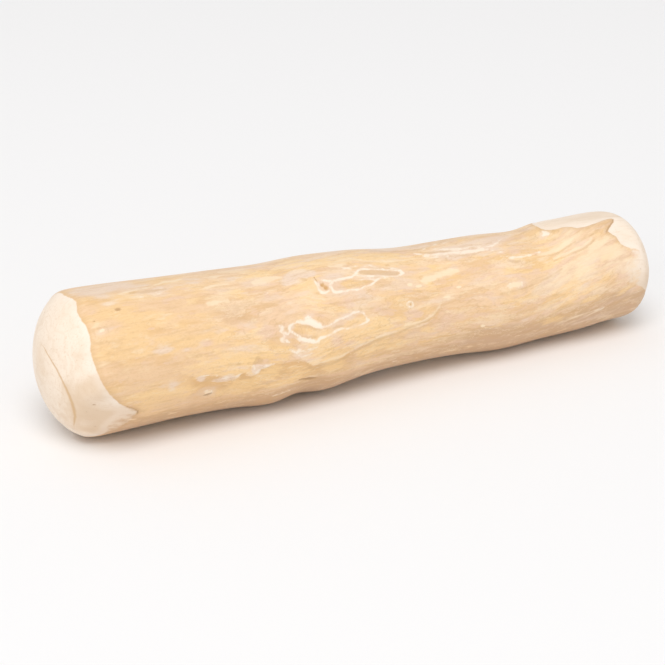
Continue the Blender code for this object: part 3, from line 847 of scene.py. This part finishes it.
def crease_side(along, back, up):
    """How far from the crease in the thick end, in half widths of it, and below 0 on one side."""
    nearest = np.full(len(along), FAR_OFF)
    side = np.full(len(along), FAR_OFF)
    for (x0, y0, w0), (x1, y1, w1) in zip(CREASE, CREASE[1:]):
        run, rise = x1 - x0, y1 - y0
        share = np.clip(((back - x0) * run + (up - y0) * rise) / (run**2 + rise**2), 0.0, 1.0)
        far = np.hypot(back - x0 - share * run, up - y0 - share * rise)
        turned_to = np.sign((back - x0) * rise - (up - y0) * run)
        side = np.where(far < nearest, turned_to * far / (w0 + share * (w1 - w0)), side)
        nearest = np.minimum(nearest, far)
    return np.where(along < CREASE_END, side, FAR_OFF)


def waves(along, around, long, wide, seed):
    """Smooth noise from -1 to 1, long mm along the stick and wide mm round it."""
    radius = ROUND_RADIUS / wide
    angle = around / ROUND_RADIUS
    places = zip(along / long + seed, radius * np.cos(angle), radius * np.sin(angle))
    return np.array([noise.noise(place) for place in places])


def grain_turn(along, turn):
    """Mm round the stick to each point's own fibre, which winds towards the thin end and bends
    round knots.
    """
    around = to_mm(turn)
    start, end, slope = WINDING
    wound = slope * (end - start) / 2 * np.clip((along - start) / (end - start), 0.0, 1.0) ** 2
    wound += slope * np.clip(along - end, 0.0, None)
    wander = np.interp(along, [stop[0] for stop in WANDER], [stop[1] for stop in WANDER])
    bent = around + wound + wander * waves(along, around, *WANDER_WAVES)
    reach_along, reach_across = BEND_REACH
    for place, towards, radius in GRAIN_BENDS:
        off = to_mm(turned(turn, towards))
        apart = ((along - place) / (reach_along * radius)) ** 2 + (off / (reach_across * radius)) ** 2
        bent = bent - BEND * off * np.exp(-apart)
    return bent


def stick_fields(along, turn, radius):
    """Every marking of the stick as numbers at its points."""
    back = radius * np.cos(np.radians(turn))
    up = radius * np.sin(np.radians(turn))
    depth, shows = inner_depth(along, turn)
    stays = SCRAPED_STAYS + (1.0 - SCRAPED_STAYS) * np.exp(-((depth / SCRAPED_FADE) ** 2))
    blended = (1.0 - LEAST_SHARP) * np.clip(patch_strength(along, turn, BLENDED_PATCHES), 0.0, 1.0)
    skin = skin_distance(along, turn) * (1.0 - blended)
    fields = {
        "skin": skin,
        "rim": skin + BLENDED_RIM * blended,
        "sharp": 1.0 - blended,
        "torn": depth * shows,
        "inner": shows * eased_step(depth, *SCRAPED_START) * stays,
        "loop": loop_distance(along, turn),
        "stroke": np.minimum(lines_distance(along, turn, STROKES), ring_distance(along, turn, RINGS)),
        "crease": crease_side(along, back, up),
        "calm": CALMING * (eased_step(along, *CALM) - 1.0),
        "fibre": grain_turn(along, turn),
        "back": back,
        "up": up,
    }
    for made, tables in ((lines_distance, LINES), (oval_distance, OVALS), (patch_strength, PATCHES)):
        fields.update((name, made(along, turn, rows)) for name, rows in tables.items())
    fields["torn white"] = np.minimum(fields["stroke"], fields["trace"])
    fields["near crease"] = np.abs(fields["crease"])
    return fields


def relief(fields, along, sizes):
    """How far each point moves out of the smooth stick, in mm."""
    skin, torn = fields["skin"], fields["torn"]
    step = (eased_step(skin, *SKIN_STEP) - 1.0) * (1.0 - eased_step(-skin, *SKIN_STEP_FADE))
    below = eased_step(torn, *INNER_STEP) * (1.0 - eased_step(torn, *INNER_STEP_FADE))
    height = sizes.skin * step * fields["sharp"] - sizes.inner_step * below
    for read, size, share, whole, ended in RELIEF:
        height += share * getattr(sizes, size) * (1.0 - eased_step(fields[read], whole, ended))
    for long, wide, seed, share in RIPPLES:
        ripples = waves(along, fields["fibre"], long, wide, seed)
        height += share * sizes.flutes * ripples * eased_step(skin, *RIPPLES_START)
    return height / MM


def cap_place(rings, count, reach):
    """Mm from the tip of an end for each ring, closer together towards the tip."""
    return reach * (rings / count) ** CAP_CROWDING


def ring_places(rings):
    """Mm along the stick for each ring of points."""
    number = np.arange(rings + 1.0)
    near_reach, near_rings = NEAR_CAP
    far_reach, far_rings = FAR_CAP
    barrel = np.interp(
        number,
        (near_rings, rings - far_rings),
        (near_reach - HALF_LENGTH, HALF_LENGTH - far_reach),
    )
    near = cap_place(number, near_rings, near_reach) - HALF_LENGTH
    far = HALF_LENGTH - cap_place(rings - number, far_rings, far_reach)
    return np.where(number < near_rings, near, np.where(number > rings - far_rings, far, barrel))


def solid_surface():
    """The solid's surface, with its loose triangles joined."""
    joined = bmesh.new()
    joined.from_mesh(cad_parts[NODE].data)
    bmesh.ops.remove_doubles(joined, verts=joined.verts, dist=JOIN_DISTANCE * MM)
    tree = BVHTree.FromBMesh(joined)
    joined.free()
    return tree


def drape(mesh, sizes):
    """Lays a ball's points on the solid, with its poles on the two tips."""
    surface = solid_surface()
    ball = np.array([vertex.co for vertex in mesh.verts])
    down = np.arccos(np.clip(ball[:, 2], -1.0, 1.0))
    ring = sizes.rings - np.round(down / math.pi * sizes.rings).astype(int)
    along = ring_places(sizes.rings)[ring]
    turn = np.degrees(np.arctan2(ball[:, 1], ball[:, 0])) % 360.0
    for vertex, x, z, degrees, at in zip(mesh.verts, along, middle_height(along), turn, ring):
        start = Vector((x, MIDDLE_BACK, z)) * MM
        out = Vector((0.0, math.cos(math.radians(degrees)), math.sin(math.radians(degrees))))
        hit = surface.ray_cast(start, out)[0]
        vertex.co = start if hit is None or at in (0, sizes.rings) else hit


def middle_height(along):
    return np.interp(along, [stop[0] for stop in MIDDLE], [stop[1] for stop in MIDDLE])


def places_of(mesh):
    """Where each point is: mm along, degrees round and mm from the middle."""
    along, back, up = np.array([vertex.co for vertex in mesh.verts]).T / MM
    back = back - MIDDLE_BACK
    up = up - middle_height(along)
    return along, np.degrees(np.arctan2(up, back)) % 360.0, np.hypot(back, up)


def smoothed(mesh, times):
    for _ in range(times):
        bmesh.ops.smooth_vert(
            mesh, verts=mesh.verts, factor=0.5, use_axis_x=True, use_axis_y=True, use_axis_z=True
        )
    mesh.normal_update()


def store_fields(data, fields, along):
    """Keeps the markings on the mesh for its material to read."""
    for name in MARKINGS:
        held = data.attributes.new(name, "FLOAT", "POINT")
        values = np.clip(fields[name], -MOST_MARKING, MOST_MARKING)
        held.data.foreach_set("value", values.astype(np.float32))
    angle = fields["fibre"] / ROUND_RADIUS
    flow = (along, ROUND_RADIUS * np.cos(angle), ROUND_RADIUS * np.sin(angle))
    core = (along, fields["back"], fields["up"])
    for name, vectors in (("flow", flow), ("core", core)):
        held = data.attributes.new(name, "FLOAT_VECTOR", "POINT")
        held.data.foreach_set("vector", np.stack(vectors, 1).astype(np.float32).ravel())


def add_node(tree, kind, joins=None, **settings):
    """Adds a node with its settings. Each of its inputs gets a value, or another node's output."""
    made = tree.nodes.new(kind)
    for name, value in settings.items():
        setattr(made, name, value)
    for name, value in (joins or {}).items():
        if isinstance(value, bpy.types.NodeSocket):
            tree.links.new(value, made.inputs[name])
        else:
            made.inputs[name].default_value = value
    return made


def noise_along(tree, places, long, wide, detail, roughness):
    """Noise from 0 to 1 whose blotches are long mm along the stick and wide mm across."""
    spread = add_node(
        tree,
        "ShaderNodeVectorMath",
        {0: places, 1: (1.0 / long, 1.0 / wide, 1.0 / wide)},
        operation="MULTIPLY",
    )
    blotches = add_node(
        tree,
        "ShaderNodeTexNoise",
        {"Vector": spread.outputs[0], "Scale": 1.0, "Detail": detail, "Roughness": roughness},
    )
    return blotches.outputs["Fac"]


def share_of(tree, marking, rough, amount, start, end):
    """How much of a marking shows: 0 at start and 1 at end, with its edge moved about by a noise."""
    moved = add_node(tree, "ShaderNodeMath", {0: rough, 1: amount, 2: marking}, operation="MULTIPLY_ADD")
    share = add_node(
        tree,
        "ShaderNodeMapRange",
        {"Value": moved.outputs[0], "From Min": start + amount / 2, "From Max": end + amount / 2},
        interpolation_type="SMOOTHSTEP",
    )
    return share.outputs["Result"]


def layered(tree, colour, layers, markings, noises, colours):
    """Lays each of the layers over a colour."""
    for _, marking, rough, amount, start, end, strength, over in layers:
        value = markings[marking] if marking else 0.0
        share = share_of(tree, value, noises[rough], amount, start, end)
        strong = add_node(tree, "ShaderNodeMath", {0: share, 1: strength}, operation="MULTIPLY")
        mix = add_node(
            tree,
            "ShaderNodeMix",
            {0: strong.outputs[0], MIX_UNDER: colour, MIX_OVER: tuple(getattr(colours, over))},
            data_type="RGBA",
        )
        colour = mix.outputs[MIX_RESULT]
    return colour


def coffee_wood(sizes, colours):
    """Coffee wood, its bark scraped off by hand: a satin skin, tan to gold, torn to paler wood in
    places. Its ends are sanded, so they are cream, even and more matt.
    """
    material = bpy.data.materials.new("scraped_coffee_wood")
    material.use_nodes = True
    tree = material.node_tree
    surface = tree.nodes["Principled BSDF"]

    flow = add_node(tree, "ShaderNodeAttribute", attribute_name="flow").outputs["Vector"]
    core = add_node(tree, "ShaderNodeAttribute", attribute_name="core").outputs["Vector"]
    width = sizes.grain_width / MM
    noises = {name: noise_along(tree, flow, *shape) for name, shape in SKIN_NOISES.items()}
    noises["fibre"] = noise_along(tree, flow, FIBRE_LENGTH * width, width, *FIBRE_NOISE)
    noises.update((name, noise_along(tree, core, *shape)) for name, shape in WOOD_NOISES.items())
    across = add_node(tree, "ShaderNodeVectorMath", {0: core, 1: (0.0, 1.0, 1.0)}, operation="MULTIPLY")
    out = add_node(tree, "ShaderNodeVectorMath", {0: across.outputs[0]}, operation="LENGTH")
    wavy = add_node(
        tree,
        "ShaderNodeMath",
        {0: noises["ends"], 1: RING_WAVER, 2: out.outputs["Value"]},
        operation="MULTIPLY_ADD",
    )
    noises["rings"] = add_node(
        tree,
        "ShaderNodeTexNoise",
        {"W": wavy.outputs[0], "Scale": MM / sizes.ring_width, "Detail": 2.0, "Roughness": 0.5},
        noise_dimensions="1D",
    ).outputs["Fac"]
    for name, rough, middle, half in OUTLINES:
        noises[name] = add_node(
            tree, "ShaderNodeMath", {0: noises[rough], 1: middle, 2: half}, operation="COMPARE"
        ).outputs[0]
    markings = {
        name: add_node(tree, "ShaderNodeAttribute", attribute_name=name).outputs["Fac"]
        for name in MARKINGS
    }
    both_sides = add_node(tree, "ShaderNodeMath", {0: markings["crease"]}, operation="ABSOLUTE")
    markings["crease"] = both_sides.outputs[0]
    marking, rough, amount, start, end = SANDED_EDGE
    sanded = share_of(tree, markings[marking], noises[rough], amount, start, end)
    skin_colour = layered(tree, tuple(colours.tan), SKIN_LAYERS, markings, noises, colours)
    sanded_colour = layered(tree, tuple(colours.cream), SANDED_LAYERS, markings, noises, colours)
    both = add_node(
        tree,
        "ShaderNodeMix",
        {0: sanded, MIX_UNDER: skin_colour, MIX_OVER: sanded_colour},
        data_type="RGBA",
    ).outputs[MIX_RESULT]
    colour = layered(tree, both, COMMON_LAYERS, markings, noises, colours)
    tree.links.new(colour, surface.inputs["Base Color"])

    rough = add_node(
        tree,
        "ShaderNodeMapRange",
        {"Value": sanded, "To Min": SKIN_ROUGHNESS, "To Max": SANDED_ROUGHNESS},
    )
    tree.links.new(rough.outputs["Result"], surface.inputs["Roughness"])
    surface.inputs["IOR"].default_value = WOOD_IOR
    surface.inputs["Sheen Weight"].default_value = FUZZ
    surface.inputs["Sheen Roughness"].default_value = FUZZ_ROUGHNESS

    height = add_node(
        tree,
        "ShaderNodeMath",
        {0: noises["fleck"], 1: FLECK_HEIGHT, 2: noises["fibre"]},
        operation="MULTIPLY_ADD",
    )
    bump = add_node(
        tree,
        "ShaderNodeBump",
        {"Height": height.outputs[0], "Strength": GRAIN_STRENGTH, "Distance": sizes.grain_relief},
    )
    tree.links.new(bump.outputs["Normal"], surface.inputs["Normal"])
    return material


def make_stick(sizes, colours):
    """The whole stick as one closed skin over its solid, with its relief and its markings."""
    mesh = bmesh.new()
    bmesh.ops.create_uvsphere(mesh, u_segments=sizes.sides, v_segments=sizes.rings, radius=1.0)
    drape(mesh, sizes)
    smoothed(mesh, sizes.softening)
    along, turn, radius = places_of(mesh)
    fields = stick_fields(along, turn, radius)
    heights = relief(fields, along, sizes) * MM
    low, high = (np.array(corner) for corner in CAD_BOX)
    for vertex, height in zip(mesh.verts, heights):
        vertex.co = np.clip(vertex.co + vertex.normal * height, low, high)
    data = bpy.data.meshes.new("chew_stick_surface")
    mesh.to_mesh(data)
    mesh.free()
    store_fields(data, fields, along)
    stick = bpy.data.objects.new("chew_stick_surface", data)
    bpy.context.scene.collection.objects.link(stick)
    data.materials.append(coffee_wood(sizes, colours))
    data.shade_smooth()
    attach(stick, "root")
    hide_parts(NODE)


def add_light(name, place, size, power):
    """A soft lamp at this place in metres, turned towards the stick."""
    lamp = bpy.data.lights.new(name, "AREA")
    lamp.shape = "DISK"
    lamp.size = size
    lamp.energy = power
    light = bpy.data.objects.new(name, lamp)
    light.location = place
    light.rotation_euler = (-Vector(place)).to_track_quat("-Z", "Y").to_euler()
    bpy.context.scene.collection.objects.link(light)


def white_paper(colours):
    """White paper, pressed but not glazed, so it is matt and hardly shines even at a low angle."""
    material = bpy.data.materials.new("pressed_white_paper")
    material.use_nodes = True
    surface = material.node_tree.nodes["Principled BSDF"]
    surface.inputs["Base Color"].default_value = colours.floor
    surface.inputs["Roughness"].default_value = PAPER_ROUGHNESS
    surface.inputs["Specular IOR Level"].default_value = PAPER_GLOSS
    return material


def make_stage(colours):
    """White paper, two soft lamps and the photograph's camera."""
    scene = bpy.context.scene
    mesh = bmesh.new()
    bmesh.ops.create_grid(mesh, x_segments=1, y_segments=1, size=STAGE_HALF)
    data = bpy.data.meshes.new("paper")
    mesh.to_mesh(data)
    mesh.free()
    paper = bpy.data.objects.new("paper", data)
    scene.collection.objects.link(paper)
    paper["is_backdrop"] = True
    data.materials.append(white_paper(colours))

    for lamp in LAMPS:
        add_light(*lamp)
    world = bpy.data.worlds.new("studio")
    world.use_nodes = True
    room = world.node_tree.nodes["Background"]
    room.inputs["Color"].default_value = linear("#ffffff")
    room.inputs["Strength"].default_value = ROOM_LIGHT
    scene.world = world
    scene.view_settings.view_transform = "Standard"

    around, up = math.radians(CAMERA_AROUND), math.radians(CAMERA_UP)
    back = Vector((math.sin(around) * math.cos(up), -math.cos(around) * math.cos(up), math.sin(up)))
    lens = bpy.data.cameras.new("camera")
    lens.lens = CAMERA_LENS
    lens.sensor_width = CAMERA_SENSOR
    lens.clip_start = CAMERA_NEAREST
    camera = bpy.data.objects.new("camera", lens)
    camera.location = Vector(CAMERA_AIM) * MM + back * CAMERA_DISTANCE
    camera.rotation_euler = (-back).to_track_quat("-Z", "Y").to_euler()
    scene.collection.objects.link(camera)
    scene.camera = camera


class CHEW_OT_make_stick(bpy.types.Operator):
    """Makes the finished stick over its solid"""

    bl_idname = "chew.make_stick"
    bl_label = "Make stick"

    def execute(self, context):
        make_stick(context.scene.stick_sizes, context.scene.stick_colours)
        return {"FINISHED"}


class CHEW_OT_make_stage(bpy.types.Operator):
    """Makes the paper, the lamps and the camera"""

    bl_idname = "chew.make_stage"
    bl_label = "Make stage"

    def execute(self, context):
        make_stage(context.scene.stick_colours)
        return {"FINISHED"}


class CHEW_PT_panel(bpy.types.Panel):
    """The stick and its stage, with their sizes and colours"""

    bl_idname = "CHEW_PT_panel"
    bl_label = "Chew stick"
    bl_space_type = "VIEW_3D"
    bl_region_type = "UI"
    bl_category = "Chew stick"

    def draw(self, context):
        for operator in OPERATORS:
            self.layout.operator(operator.bl_idname)
        for group in (context.scene.stick_sizes, context.scene.stick_colours):
            for name in group.__annotations__:
                self.layout.prop(group, name)


OPERATORS = (CHEW_OT_make_stick, CHEW_OT_make_stage)
CLASSES = (StickSizes, StickColours, *OPERATORS, CHEW_PT_panel)


def register():
    for kind in CLASSES:
        bpy.utils.register_class(kind)
    bpy.types.Scene.stick_sizes = bpy.props.PointerProperty(type=StickSizes)
    bpy.types.Scene.stick_colours = bpy.props.PointerProperty(type=StickColours)


def unregister():
    del bpy.types.Scene.stick_colours
    del bpy.types.Scene.stick_sizes
    for kind in reversed(CLASSES):
        bpy.utils.unregister_class(kind)


def main():
    register()
    bpy.ops.chew.make_stick()
    bpy.ops.chew.make_stage()
    boxes = {"cad": CAD_BOX, "visual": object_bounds()}
    boxes = {name: [[float(v) for v in corner] for corner in box] for name, box in boxes.items()}


if __name__ == "__main__":
    main()
